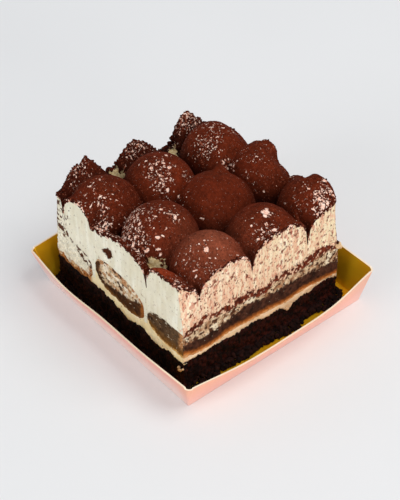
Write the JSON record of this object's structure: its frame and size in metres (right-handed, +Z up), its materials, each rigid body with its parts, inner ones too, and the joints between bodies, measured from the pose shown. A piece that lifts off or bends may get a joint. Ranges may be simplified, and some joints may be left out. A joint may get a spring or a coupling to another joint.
{
  "type": "tiramisu portion",
  "caption": "Square cut portion of tiramisu with piped domes under cocoa, layers showing on its cut sides, in a shallow folded gold card tray.",
  "frame": {"origin": "middle of the tray's underside, where it stands on the table", "axes": "+Z up; -Y is the front cut side, which shows the ends of the ladyfingers; +X is the right cut side, which shows one cut along its length"},
  "size_m": [0.0924, 0.0904, 0.0518],
  "materials": {
    "gold_card": "metallic gold foil, satin",
    "chocolate_sponge": "dark open crumb, matte",
    "custard_cream": "smooth cream, satin",
    "ladyfinger": "soaked biscuit crumb, matte",
    "mascarpone_cream": "whipped cream, satin",
    "cocoa": "cocoa powder, matte"
  },
  "bodies": {
    "root": {"tray": "gold_card", "chocolate_sponge": "chocolate_sponge", "custard_cream": "custard_cream", "ladyfinger_1": "ladyfinger", "ladyfinger_2": "ladyfinger", "ladyfinger_3": "ladyfinger", "mascarpone_cream": "mascarpone_cream", "cocoa_coat": "cocoa"}
  },
  "joints": []
}
